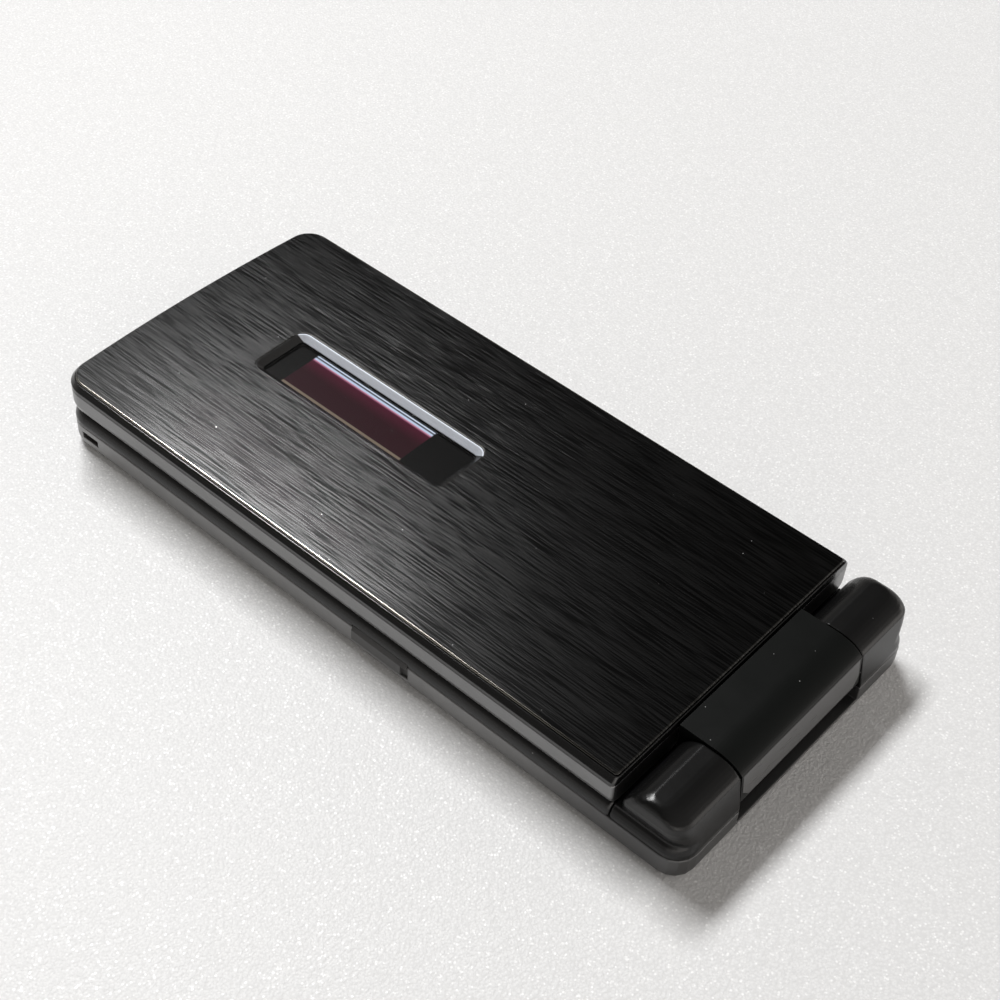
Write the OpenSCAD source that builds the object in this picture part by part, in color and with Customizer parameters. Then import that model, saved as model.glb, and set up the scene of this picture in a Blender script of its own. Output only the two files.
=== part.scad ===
// Slim flip phone, shut and lying on its back. The lower half with the keys lies on the table, the
// upper half with the displays is folded onto it, and a barrel hinge joins them at the +Y end.
// X runs across the phone, Y along it, Z up. The origin is at the middle of the footprint, on the table.

/* [Overall] */
// Width across the long sides
body_w = 49; // [48:0.5:54]
// Length from the bowed far end to the hinge end
body_l = 112; // [110:0.5:118]
// Height of the lower half, from the table to its face
base_h = 6.4; // [6.4:0.1:7.4]
// Height of the upper half, from its face to the brushed plate
lid_h = 5.1; // [5.1:0.1:6]
// Gap between the two faces when the phone is shut
face_gap = 0.3; // [0.2:0.05:0.5]
// Radius of the far corners seen from above
corner_r = 4; // [3:0.25:6]
// How far the middle of the far end stands out from its corners
end_bow = 0.9; // [0.4:0.1:1.4]

/* [Hinge] */
// Distance of the hinge axis from the hinge end
hinge_inset = 5; // [4.9:0.05:5.3]
// Length of the hinge shoulders along the phone
hinge_block_l = 10.8; // [10.7:0.1:11.6]
// Width of the barrel between the shoulders
barrel_w = 25.4; // [22:0.2:28]
// Gap between the barrel and each shoulder
barrel_gap = 0.3; // [0.2:0.05:0.5]
// Radius of the shoulders' front about the axis
shoulder_r = 5.2; // [5.05:0.05:5.3]
// Radius of the shoulders' corners seen from above
shoulder_corner_r = 3.2; // [2.4:0.2:4]
// Radius of the cam unit and of the hollow bush
cam_r = 2.9; // [2.5:0.1:3]
// Radial running clearance of the hinge shafts
run_gap = 0.05; // [0.03:0.01:0.1]
// Across-flats size of the keyed hinge shaft
key_shaft_w = 3.4; // [2.8:0.2:4]

/* [Upper half] */
// Height of the outer case's side, from its seam to the plate's top
rim_h = 1.65; // [1.5:0.05:1.9]
// Distance of the brushed plate from the case's side
plate_inset = 0.8; // [0.6:0.1:1.2]
// Thickness of the brushed plate
plate_t = 0.5; // [0.4:0.05:0.6]
// Polished chamfer along the plate's edge
plate_chamfer = 0.15; // [0.1:0.05:0.25]
// How far the plate's rim stands above the case's bevel
plate_stand = 0.35; // [0.25:0.05:0.35]
// Thickness of the lid's inner face
lid_face_t = 1.0; // [0.9:0.05:1.1]
// Side wall of the lid
lid_wall = 1.3; // [1.1:0.1:1.6]

/* [Outer display] */
// Width of the opening in the plate
win_w = 10.4; // [9:0.2:12]
// Length of the opening in the plate
win_l = 36.3; // [32:0.5:40]
// Corner radius of the opening
win_r = 1.8; // [1.2:0.1:2.4]
// Sideways place of the opening's middle
win_x = -0.9; // [-2:0.1:2]
// Lengthways place of the opening's middle
win_y = -19.7; // [-24:0.5:-12]
// Width of the polished frame's slope
bezel_w = 0.95; // [0.6:0.05:1.2]

/* [Main display] */
// Width of the clear pane on the inner face
pane_w = 43; // [40:0.5:44]
// Length of the clear pane
pane_l = 74; // [66:1:78]
// Thickness of the clear panes
pane_t = 0.6; // [0.5:0.05:0.7]
// Width of the picture
view_w = 38; // [34:0.5:39]
// Length of the picture
view_l = 63; // [56:1:65]
// Thickness of the display module
display_t = 1.2; // [1:0.1:1.25]

/* [Keys] */
// Width of a number key
key_w = 14; // [12:0.2:14.2]
// Length of a number key
key_l = 8.4; // [7:0.2:8.6]
// Sideways distance between number keys
key_pitch_x = 15.2; // [15:0.1:15.6]
// Lengthways distance between key rows
key_pitch_y = 9.6; // [9.4:0.1:10]
// Gap round each key in its opening
key_gap = 0.15; // [0.1:0.05:0.25]
// How far a key goes down
key_travel = 0.25; // [0.15:0.05:0.25]
// Outer diameter of the navigation ring
nav_d = 19; // [17:0.5:20]
// Diameter of the centre key
nav_centre_d = 8; // [7:0.5:9]

/* [Lower half] */
// Height of the lower case, from the table to the seam
lower_h = 4.2; // [4.2:0.1:4.6]
// Radius of the lower case's bottom edge
foot_r = 1.8; // [1.2:0.1:2.2]
// How far the upper case's shoulder draws in at its top
shoulder_in = 1.05; // [0.8:0.05:1.4]
// Thickness of the upper case's roof over the keys
roof_t = 0.65; // [0.55:0.05:0.7]
// Side wall of the lower half
base_wall = 1.6; // [1.4:0.1:1.9]
// Thickness of the main board
board_t = 0.6; // [0.5:0.05:0.65]

/* [Battery] */
// Width of the battery
battery_w = 34; // [30:1:36]
// Length of the battery
battery_l = 42; // [38:1:44]
// Thickness of the battery cover
cover_t = 0.7; // [0.6:0.05:0.75]
// Width of the battery cover
cover_w = 41; // [38:0.5:43]
// How far the cover slides before it lifts off
cover_slide = 3; // [2:0.5:4]

/* [Side parts] */
// Length of the socket cover on the long side
flap_l = 9.6; // [9:0.2:11]
// Height of the socket cover
flap_h = 2.6; // [2.4:0.1:2.7]
// Thickness of the socket cover
flap_t = 1.2; // [1:0.1:1.3]
// How far the socket cover stands out
flap_proud = 0.25; // [0.15:0.05:0.35]
// Lengthways place of the socket cover's end next to the far end
flap_y = 2.45; // [0:0.5:5]
// Length of a side key
side_key_l = 8; // [7:0.5:9]
// Height of a side key
side_key_h = 1.8; // [1.6:0.1:2]
// How far a side key stands out
side_key_proud = 0.3; // [0.25:0.05:0.5]
// How far a side key goes in
side_key_travel = 0.3; // [0.2:0.05:0.3]
// Width of the dock connector's cover
dock_w = 13; // [12:0.5:15]
// Length of the strap slot
strap_l = 3.3; // [3:0.1:4]
// Height of the strap slot
strap_h = 1.1; // [0.9:0.1:1.2]

/* [Hidden] */
$fn = 48;

// Fits
snug = 0.05;            // between pieces fixed to each other
slack = 0.1;            // round pieces that drop into a pocket or slide
eps = 0.01;             // overlap of shapes that make one piece
past = 1;               // how far a cut runs past a face
seam_bevel = 0.12;      // small bevel on both sides of each seam

// Heights
lid_z = base_h + face_gap;
top_z = lid_z + lid_h;
rim_z = top_z - rim_h;
plate_z = top_z - plate_t;
bevel_z = top_z - plate_stand;
lid_floor_z = lid_z + lid_face_t;
axis_z = base_h + face_gap / 2;
roof_z = base_h - roof_t;
upper_z = lower_h + snug;           // underside of the lower half's upper case

// Places along and across the phone
half_w = body_w / 2;
far_y = -body_l / 2;
hinge_y = body_l / 2;
lid_end_y = hinge_y - hinge_block_l;
lid_end_gap = 0.2;                  // between the lid's end and the shoulders
base_end_y = lid_end_y - lid_end_gap;
axis_y = hinge_y - hinge_inset;
shoulder_x = barrel_w / 2 + barrel_gap;
shoulder_side_x = half_w - 0.1;

// Steps of the rounded outlines
corner_steps = 12;
bow_steps = 12;
small_steps = 4;
foot_steps = 8;

// ---- Shapes that several pieces share ----

function arc_pts(cx, cy, r, a0, a1, n) =
    [for (i = [0 : n]) let (a = a0 + (a1 - a0) * i / n) [cx + r * cos(a), cy + r * sin(a)]];

// Outline of a case half seen from above: straight sides w from the middle, a bowed far end with
// corners of radius r0, and a straight hinge end with corners of radius r1
function plan(w, y0, y1, r0, r1) =
    [for (p = concat(
            arc_pts(w - r1, y1 - r1, r1, 0, 90, small_steps),
            arc_pts(r1 - w, y1 - r1, r1, 90, 180, small_steps),
            arc_pts(r0 - w, y0 + r0, r0, 180, 270, corner_steps),
            [for (i = [1 : bow_steps - 1]) [(w - r0) * (2 * i / bow_steps - 1), y0]],
            arc_pts(w - r0, y0 + r0, r0, 270, 360, corner_steps)))
        [p[0], p[1] + (p[1] < y0 + r0 + eps ? end_bow * pow(p[0] / half_w, 2) : 0)]];

// Outlines of the lid, the two lower cases and the plate, drawn in by d
lid_hinge_r = 0.6;
base_hinge_r = 0.4;
least_r = 0.3;
plate_hinge_r = 0.5;
plate_end_in = 0.25;                // from the lid's end to the plate's
function lid_plan(d) = plan(half_w - d, far_y + d, lid_end_y, corner_r - d, lid_hinge_r);
function base_plan(d) = plan(half_w - d, far_y + d, base_end_y, corner_r - d, base_hinge_r);
function lower_plan(d) = plan(half_w - d, far_y + d, hinge_y - d, corner_r - d,
    max(shoulder_corner_r - d, least_r));
function plate_plan(d) = let (in = plate_inset + d)
    plan(half_w - in, far_y + in, lid_end_y - plate_end_in - d, corner_r - in, plate_hinge_r);

// Points of a rounded rectangle, n steps to a corner
function slab_pts(x, y, w, l, r, n) =
    concat(
        arc_pts(x + w / 2 - r, y + l / 2 - r, r, 0, 90, n),
        arc_pts(x - w / 2 + r, y + l / 2 - r, r, 90, 180, n),
        arc_pts(x - w / 2 + r, y - l / 2 + r, r, 180, 270, n),
        arc_pts(x + w / 2 - r, y - l / 2 + r, r, 270, 360, n));

// Solid through a stack of outlines, each [height, points], with the same count of points
module loft(rings) {
    n = len(rings[0][1]);
    last = n * (len(rings) - 1);
    polyhedron(
        points = [for (ring = rings) for (p = ring[1]) [p[0], p[1], ring[0]]],
        faces = concat(
            [[for (i = [0 : n - 1]) i]],
            [[for (i = [n - 1 : -1 : 0]) last + i]],
            [for (k = [0 : len(rings) - 2]) for (i = [0 : n - 1])
                [k * n + i, (k + 1) * n + i, (k + 1) * n + (i + 1) % n]],
            [for (k = [0 : len(rings) - 2]) for (i = [0 : n - 1])
                [k * n + i, (k + 1) * n + (i + 1) % n, k * n + (i + 1) % n]]),
        convexity = 6);
}

// Box between two corners
module block(x0, x1, y0, y1, z0, z1) {
    translate([x0, y0, z0]) cube([x1 - x0, y1 - y0, z1 - z0]);
}

// Upright plate with rounded corners, centred at x, y
module slab(x, y, w, l, r, z0, z1) {
    c = min(r, w / 2 - eps, l / 2 - eps);
    translate([x, y, z0]) linear_extrude(z1 - z0) {
        square([w - 2 * c, l], center = true);
        square([w, l - 2 * c], center = true);
        for (i = [-1, 1], j = [-1, 1]) translate([i * (w / 2 - c), j * (l / 2 - c)]) circle(c);
    }
}

// Upright cylinder between two heights
module post(x, y, r, z0, z1) {
    translate([x, y, z0]) cylinder(h = z1 - z0, r = r);
}

// Cylinder along the hinge axis
module rod(r, x0, x1) {
    translate([x0, axis_y, axis_z]) rotate([0, 90, 0]) cylinder(h = x1 - x0, r = r);
}

// Section in the Y-Z plane, moved along X
module along_x(x0, x1) {
    translate([x0, 0, 0]) rotate([90, 0, 90]) linear_extrude(x1 - x0) children();
}

// The same thing on both sides of the phone
module both_sides() {
    for (side = [0, 1]) mirror([side, 0, 0]) children();
}

// ---- Upper half ----

module lid_plate() color("#26272a") difference() {
    loft([
        [plate_z, plate_plan(0)],
        [top_z - plate_chamfer, plate_plan(0)],
        [top_z, plate_plan(plate_chamfer)]]);
    slab(win_x, win_y, win_w, win_l, win_r, plate_z - past, top_z + past);
}

// Outer display: its pane lies on the ledge of a rib that stands down from the case's roof
lid_roof_t = 0.6;
lid_roof_z = plate_z - lid_roof_t;
sub_pane_t = 0.3;
sub_pane_in = 0.35;                 // from the opening's edge to the pane's
sub_pane_w = win_w - 2 * sub_pane_in;
sub_pane_l = win_l - 2 * sub_pane_in;
sub_ledge = 0.9;
sub_view_r = 0.8;
sub_view_w = sub_pane_w - 2 * sub_ledge;
sub_view_l = sub_pane_l - 2 * sub_ledge;
sub_rib = 1;

// Room inside the lid
lid_room_x = half_w - lid_wall;
lid_room_y0 = far_y + lid_wall + end_bow;
lid_room_y1 = lid_end_y - lid_wall;

// Screws of the lid, with a boss round each in both cases and a cap over each head
lid_screw_inset = 3.6;
lid_screw_x = half_w - lid_screw_inset;
lid_screw_far = 1;                  // extra distance from the bowed end
lid_screw_near = 0.4;               // extra distance from the hinge end
lid_screw_y0 = far_y + lid_screw_inset + end_bow + lid_screw_far;
lid_screw_y1 = lid_end_y - lid_screw_inset - lid_screw_near;
lid_boss_r = 1.7;
lid_bolt_r = 0.6;
lid_head_r = 1.25;
lid_head_t = 0.5;
lid_cap_r = 1.5;
lid_cap_t = 0.3;
lid_bolt_top_z = lid_roof_z + 0.1;

module at_lid_screws() {
    for (x = [-lid_screw_x, lid_screw_x], y = [lid_screw_y0, lid_screw_y1])
        translate([x, y, 0]) children();
}

lip_h = 0.6;                        // upright lip over the seam
bevel_ledge = 0.2;                  // flat between the bevel and the plate

module lid_outer_case() color("#17181a") difference() {
    loft([
        [rim_z, lid_plan(seam_bevel)],
        [rim_z + seam_bevel, lid_plan(0)],
        [rim_z + lip_h, lid_plan(0)],
        [bevel_z, lid_plan(plate_inset - bevel_ledge)]]);
    // seat of the plate
    loft([
        [plate_z, plate_plan(-snug)],
        [top_z + past, plate_plan(-snug)]]);
    // room inside, less the rib round the display and the bosses
    difference() {
        block(-lid_room_x, lid_room_x, lid_room_y0, lid_room_y1, rim_z - past, lid_roof_z);
        slab(win_x, win_y, win_w + 2 * sub_rib, win_l + 2 * sub_rib, win_r, rim_z - past, top_z);
        at_lid_screws() post(0, 0, lid_boss_r, rim_z - past, top_z);
    }
    // opening over the pane, and the smaller one under it
    slab(win_x, win_y, win_w, win_l, win_r, lid_roof_z, top_z);
    slab(win_x, win_y, sub_view_w, sub_view_l, sub_view_r, rim_z - past, top_z);
    at_lid_screws() post(0, 0, lid_bolt_r, rim_z - past, lid_bolt_top_z + slack);
}

// Polished frame whose inner faces slope down to the pane
bezel_z0 = lid_roof_z + sub_pane_t;
bezel_z1 = top_z - 0.1;
bezel_brim = 0.2;                   // flat top of the frame
bezel_foot = 0.25;                  // how far the slope runs on past its nominal width
bezel_steps = 6;
function bezel_pts(in) =
    slab_pts(win_x, win_y, win_w - 2 * in, win_l - 2 * in, max(win_r - in, least_r), bezel_steps);

module window_bezel() color("#c9ccd0") difference() {
    slab(win_x, win_y, win_w - 2 * snug, win_l - 2 * snug, win_r - snug, bezel_z0, bezel_z1);
    loft([
        [bezel_z0 - past, bezel_pts(bezel_w + bezel_foot)],
        [bezel_z0, bezel_pts(bezel_w + bezel_foot)],
        [bezel_z1, bezel_pts(bezel_brim)],
        [bezel_z1 + past, bezel_pts(bezel_brim)]]);
}

module subdisplay_window() color("#30343a", 0.5)
    slab(win_x, win_y, sub_pane_w, sub_pane_l, win_r - sub_pane_in, lid_roof_z,
        lid_roof_z + sub_pane_t);

// The lid's stack, from its floor up: main display, board, outer display
display_z = lid_floor_z + snug;
display_side = 1.5;                 // from the picture's edge to the module's
display_end = 2.5;
display_w = view_w + 2 * display_side;
display_l = view_l + 2 * display_end;
display_r = 0.6;
pane_far = 11.6;                    // from the room's far end to the clear pane
display_y = lid_room_y0 + pane_far + pane_l / 2;
lid_board_z = display_z + display_t + snug;
lid_board_t = 0.4;
lid_board_side = 0.8;
board_r = 1;
sub_panel_drop = 0.2;
sub_panel_side = 0.15;
sub_panel_z = lid_board_z + lid_board_t + snug;
sub_panel_top_z = lid_roof_z - sub_panel_drop;
sub_panel_w = sub_view_w - 2 * sub_panel_side;
sub_panel_l = sub_view_l - 2 * sub_panel_side;
sub_panel_r = 0.4;

module subdisplay_panel() color("#2a1a20")
    slab(win_x, win_y, sub_panel_w, sub_panel_l, sub_panel_r, sub_panel_z, sub_panel_top_z);

module lid_board() color("#1f5a35")
    slab(0, display_y, display_w - 2 * lid_board_side, display_l - 2 * lid_board_side, board_r,
        lid_board_z, lid_board_z + lid_board_t);

// The display's glass front stands up into the picture opening
view_r = 0.4;
module main_display() color("#101418") {
    slab(0, display_y, display_w, display_l, display_r, display_z, display_z + display_t);
    slab(0, display_y, view_w - 2 * slack, view_l - 2 * slack, view_r, lid_z + pane_t + 2 * snug,
        display_z + eps);
}

pane_r = 1.5;
module main_display_window() color("#1c2024", 0.6)
    slab(0, display_y, pane_w, pane_l, pane_r, lid_z + snug, lid_z + pane_t + snug);

// Earpiece slot in the inner face, past the pane's far end
ear_gap = 3.2;
ear_y = display_y - pane_l / 2 - ear_gap;
ear_w = 9;
ear_l = 1.6;
ear_seat = 0.35;
ear_ledge = 0.4;
ear_unit_side = 1;
ear_unit_l = 4.4;
ear_unit_t = 1.25;
ear_unit_shift = 0.4;
ear_unit_r = 1;
ear_unit_y = ear_y + ear_unit_shift;
ear_slots = 3;                      // slots on each side of the middle one
ear_slot_w = 0.45;

// Tongue of the barrel, which reaches into the lid and is held between its cases
tongue_side = 1.5;
tongue_w = barrel_w - 2 * tongue_side;
tongue_z0 = lid_floor_z + 1.15;
tongue_z1 = rim_z - slack;
tongue_l = 6;

// Steps of the inner case's rounded lower edge: [height, inset]
lid_foot = [[0, 0.8], [0.15, 0.5], [0.5, 0.2], [1.2, 0]];

module lid_inner_case() color("#1c1d20") difference() {
    loft(concat(
        [for (s = lid_foot) [lid_z + s[0], lid_plan(s[1])]],
        [[rim_z - seam_bevel, lid_plan(0)],
         [rim_z, lid_plan(seam_bevel)]]));
    difference() {
        block(-lid_room_x, lid_room_x, lid_room_y0, lid_room_y1, lid_floor_z, rim_z + past);
        at_lid_screws() post(0, 0, lid_boss_r, lid_z, rim_z + past);
    }
    // pane pocket, picture opening, earpiece seat and slot
    slab(0, display_y, pane_w + 2 * snug, pane_l + 2 * snug, pane_r + snug, lid_z - past,
        lid_z + pane_t + 2 * snug);
    slab(0, display_y, view_w, view_l, view_r, lid_z, lid_floor_z + past);
    slab(0, ear_y, ear_w + 2 * snug, ear_l + 2 * snug, ear_l, lid_z - past,
        lid_z + ear_seat + snug);
    slab(0, ear_y, ear_w - 2 * ear_ledge, ear_l - 2 * ear_ledge, ear_l, lid_z, lid_floor_z + past);
    // slot for the barrel's tongue
    block(-tongue_w / 2 - snug, tongue_w / 2 + snug, lid_room_y1 - past, lid_end_y + past,
        tongue_z0 - snug, rim_z + past);
    at_lid_screws() {
        post(0, 0, lid_cap_r + snug, lid_z - past, lid_z + lid_cap_t + lid_head_t + snug);
        post(0, 0, lid_bolt_r, lid_z, rim_z + past);
    }
}

module earpiece() color("#3a3c40")
    slab(0, ear_unit_y, ear_w + 2 * ear_unit_side, ear_unit_l, ear_unit_r, lid_floor_z + snug,
        lid_floor_z + snug + ear_unit_t);

// Slotted cover of the earpiece
module earpiece_grille() color("#8a8d92") difference() {
    slab(0, ear_y, ear_w, ear_l, ear_l, lid_z + snug, lid_z + ear_seat);
    for (i = [-ear_slots : ear_slots])
        slab(i * ear_w / (2 * ear_slots + 3), ear_y, ear_slot_w, ear_l - 2 * ear_ledge + slack,
            ear_slot_w, lid_z - past, lid_floor_z);
}

// Soft stops on the inner face that keep the halves apart
bumper_w = 4;
bumper_l = 1.8;
bumper_r = 0.6;
bumper_in = 5;                      // from a screw to the stop beside it
bumper_x = lid_screw_x - bumper_in;
bumper_y0 = lid_screw_y0 - lid_screw_far;
bumper_y1 = lid_screw_y1 + lid_screw_near;
module lid_bumpers() color("#2b2b2b")
    for (x = [-bumper_x, bumper_x], y = [bumper_y0, bumper_y1])
        slab(x, y, bumper_w, bumper_l, bumper_r, base_h + snug, lid_z);

module lid_screws() color("#9a9ca0") at_lid_screws() {
    post(0, 0, lid_head_r, lid_z + lid_cap_t + snug, lid_z + lid_cap_t + lid_head_t);
    post(0, 0, lid_bolt_r - snug, lid_z + lid_cap_t + snug, lid_bolt_top_z);
}

module lid_screw_caps() color("#1a1a1a")
    at_lid_screws() post(0, 0, lid_cap_r, lid_z + snug, lid_z + lid_cap_t);

// ---- Hinge ----

// Barrel: flat top, round to a crease, sloping end face, and round below about the axis, back to
// the lid
barrel_x = barrel_w / 2;
barrel_drop = 0.1;                  // its top below the plate's
barrel_front = 0.5;                 // its front behind the lid's end
barrel_front_h = 0.35;              // lower edge of its front, above the axis
crease_in = 0.75;                   // crease before the hinge end
crease_h = 3.55;                    // and above the axis
end_low_in = 0.2;                   // lower edge of the end face before the hinge end
end_low_h = 1.05;                   // and below the axis
barrel_flat = 0.6;                  // where the flat top ends, before the axis
barrel_pull = 3;                    // pull point of the curve to the crease, behind the axis
barrel_top_z = top_z - barrel_drop;
barrel_front_y = lid_end_y + barrel_front;
barrel_back_z = axis_z + barrel_front_h;
crease_y = hinge_y - crease_in;
crease_z = axis_z + crease_h;
end_low_y = hinge_y - end_low_in;
end_low_z = axis_z - end_low_h;
barrel_flat_y = axis_y - barrel_flat;
barrel_pull_y = axis_y + barrel_pull;
barrel_steps = 14;
belly_steps = 20;
belly_a0 = -atan2(axis_z - end_low_z, end_low_y - axis_y);
belly_a1 = belly_a0 - 151;         // meets the front's lower edge
barrel_r = end_low_y - axis_y;
barrel_section = concat(
    [[barrel_front_y, barrel_top_z]],
    [for (i = [0 : barrel_steps]) let (t = i / barrel_steps, s = 1 - t)
        [s * s * barrel_flat_y + 2 * s * t * barrel_pull_y + t * t * crease_y,
         (s * s + 2 * s * t) * barrel_top_z + t * t * crease_z]],
    arc_pts(axis_y, axis_z, barrel_r, belly_a0, belly_a1, belly_steps),
    [[barrel_front_y, barrel_back_z]]);

// Trough in the lower half, clear of the barrel's crease, which is its point farthest from the axis
trough_gap = 0.3;
crease_r = norm([crease_y - axis_y, crease_z - axis_z]);
trough_r = max(barrel_r, crease_r) + trough_gap;
sill_back = 1.4;                    // from the axis to the sill
sill_y = axis_y + sill_back;
sill_z = 1.9;

cam_l = 14;
cam_x0 = -barrel_x;
bush_l = 9;
bush_in = 5;                        // how far the bush reaches into the barrel
bush_hole_r = 1.9;

module hinge_barrel() color("#202124") difference() {
    union() {
        along_x(-barrel_x, barrel_x) polygon(barrel_section);
        block(-tongue_w / 2, tongue_w / 2, lid_end_y - tongue_l, barrel_front_y + 1,
            tongue_z0, tongue_z1);
    }
    end_strip(snug);
    rod(cam_r + snug, cam_x0 - past, cam_x0 + cam_l + snug);
    rod(cam_r + snug, barrel_x - bush_in - snug, barrel_x + past);
    // passage for the flexible circuit
    rod(bush_hole_r, 0, barrel_x);
}

// Flat strip let into the barrel's end face, its lower corners cut off
strip_t = 0.5;
strip_inset = 0.35;
strip_top = 0.15;                   // from the crease to the strip
strip_bottom = 0.55;                // from the strip to the end face's lower edge
strip_cut = 1.2;
strip_lean = atan2(end_low_y - crease_y, crease_z - end_low_z);
strip_l = norm([end_low_y - crease_y, crease_z - end_low_z]) - strip_bottom;
module end_strip(grow) {
    w = barrel_x - strip_inset + grow;
    translate([0, crease_y, crease_z - strip_top]) rotate([strip_lean - 90, 0, 0])
        translate([0, 0, -strip_t - grow]) linear_extrude(strip_t + grow + 2 * eps)
            polygon([
                [-w, -grow], [w, -grow], [w, strip_l - strip_cut],
                [w - strip_cut, strip_l + grow], [strip_cut - w, strip_l + grow],
                [-w, strip_l - strip_cut]]);
}

module hinge_end_plate() color("#6a6c70") end_strip(0);

// Click unit: a can with its cam inside, and the shaft that the lower half's shoulder holds
key_journal_step = 0.35;
key_journal_r = key_shaft_w / 2 + key_journal_step;
cam_end_t = 2;
key_shaft_l = 4.5;
key_shaft_in = 0.15;                // from the shaft's square part to the can

module hinge_cam_unit() color("#a8aab0") difference() {
    rod(cam_r, cam_x0 - snug, cam_x0 + cam_l);
    rod(key_journal_r, cam_x0 - past, cam_x0 + cam_l - cam_end_t);
}

// Square block about the hinge axis, from x0 to x1
module square_rod(w, x0, x1) {
    block(x0, x1, axis_y - w / 2, axis_y + w / 2, axis_z - w / 2, axis_z + w / 2);
}

module hinge_key_shaft() color("#7d8086") {
    rod(key_journal_r - run_gap, cam_x0 - slack - snug - eps, cam_x0 + cam_l - cam_end_t - snug);
    square_rod(key_shaft_w, -shoulder_x - key_shaft_l + slack, cam_x0 - key_shaft_in);
}

module hinge_bush() color("#b0a58a") difference() {
    rod(cam_r, barrel_x - bush_in, barrel_x - bush_in + bush_l);
    rod(bush_hole_r, 0, half_w);
}

// ---- Hinge shoulders ----

// Side of the lower half over the seam: upright, then a slope in to the face in steps, each [height
// below the face, share of the inset]. The shoulders carry it on to the hinge end.
upper_side_h = 0.65;
shoulder_slope = [[1.1, 0.12], [0.65, 0.36], [0.25, 0.68], [0, 1]];
skirt_z = upper_z + upper_side_h;
skirt_steps = 2;                    // last step of the slope that the shoulders follow

// Over the slope a cap swells out to its widest, in steps of [height above the face, inset]. Its
// front is round about the axis, its top flat, and a curve leads from there to a crease and the
// sloping end face.
cap_swell = [[0, 0.7], [0.8, 0.42], [1.8, 0.12], [2.6, 0]];
cap_top_h = 5;                      // above the axis
cap_edge = 1.4;                     // radius of its long outer edge
cap_front_r = 1.2;                  // its front corner seen from above
cap_corner_r = 2.4;                 // its end corner at the crease
cap_crease = [4.2, 3.45];           // behind and above the axis
cap_flat = 0.4;                     // where the flat top ends, behind the axis
cap_pull = 3;                       // pull point of the curve to the crease
cap_steps = 7;
shoulder_steps = 8;
shoulder_foot_r = 0.3;
shoulder_foot_y = base_end_y + slack;
shoulder_end_y = hinge_y - 0.03;
corner_x = shoulder_side_x - shoulder_corner_r;
cap_top_z = axis_z + cap_top_h;
cap_crease_z = axis_z + cap_crease[1];

// Outline of a shoulder, with corners of radius rf in front and rb at the end
function shoulder_plan(side, front, back, rf, rb) = concat(
    [[shoulder_x - past / 2, back],
     [shoulder_x - past / 2, front]],
    arc_pts(side - rf, front + rf, rf, 270, 360, small_steps),
    arc_pts(side - rb, back - rb, rb, 0, 90, shoulder_steps));

// Its end face at a height: upright to the top of the skirt, then leaning in to the crease
function end_share(z) = max(0, z - skirt_z) / (cap_crease_z - skirt_z);
function end_y(z) = shoulder_end_y - end_share(z) * (shoulder_end_y - axis_y - cap_crease[0]);
function end_r(z) = shoulder_corner_r - end_share(z) * (shoulder_corner_r - cap_corner_r);
function skirt_ring(z, in) =
    [z, shoulder_plan(shoulder_side_x - in, shoulder_foot_y, end_y(z), shoulder_foot_r, end_r(z))];
function cap_ring(z, in, back, rb) =
    let (front = axis_y - sqrt(pow(shoulder_r, 2) - pow(max(0, z - axis_z), 2)), l = back - front)
    [z, shoulder_plan(shoulder_side_x - in, front, back, min(cap_front_r, l * 0.4),
        min(rb, l * 0.5))];

module shoulder_shell() {
    loft(concat(
        [skirt_ring(upper_z, 0), skirt_ring(skirt_z, 0)],
        [for (i = [0 : skirt_steps]) let (s = shoulder_slope[i])
            skirt_ring(base_h - s[0], shoulder_in * s[1])],
        [skirt_ring(base_h - snug, cap_swell[0][1])],
        [for (s = cap_swell) let (z = base_h + s[0]) cap_ring(z, s[1], end_y(z), end_r(z))],
        [for (i = [cap_steps : -1 : 0]) let (
                t = i / cap_steps,
                z = cap_top_z - t * t * (cap_top_z - cap_crease_z),
                over = max(0, z - cap_top_z + cap_edge),
                back = pow(1 - t, 2) * cap_flat + 2 * t * (1 - t) * cap_pull
                    + t * t * cap_crease[0])
            cap_ring(z, cap_edge - sqrt(pow(cap_edge, 2) - over * over), axis_y + back,
                cap_corner_r)]));
}

// Lug of the lower half's upper case that carries the hinge inside a shoulder, and the flange
// that joins it to the case
lug_r = 3.9;
lug_l = 6;
lug_x = shoulder_x + snug;
lug_front = 3.4;
lug_back = 3.1;
lug_y0 = axis_y - lug_front;
lug_y1 = axis_y + lug_back;
flange_plate_h = 0.8;
flange_plate_in = 0.5;
flange_plate_z = lower_h + flange_plate_h;
flange_plate_x = corner_x - flange_plate_in;
module lug(grow) {
    start = grow > 0 ? past : 0;
    rod(lug_r + grow, lug_x - start, lug_x + lug_l + grow);
    block(lug_x - start, lug_x + lug_l + grow, lug_y0 - grow, lug_y1 + grow, upper_z - start,
        axis_z);
}

module hinge_shoulders() color("#0c0d0f") both_sides() difference() {
    shoulder_shell();
    block(shoulder_x - 2 * past, shoulder_x, base_end_y - past, hinge_y + past, 0, top_z + past);
    lug(slack);
    block(shoulder_x - past, flange_plate_x, base_end_y - past, lug_y1 + slack, lower_h - past,
        flange_plate_z + slack);
}

// ---- Lower half ----

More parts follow.
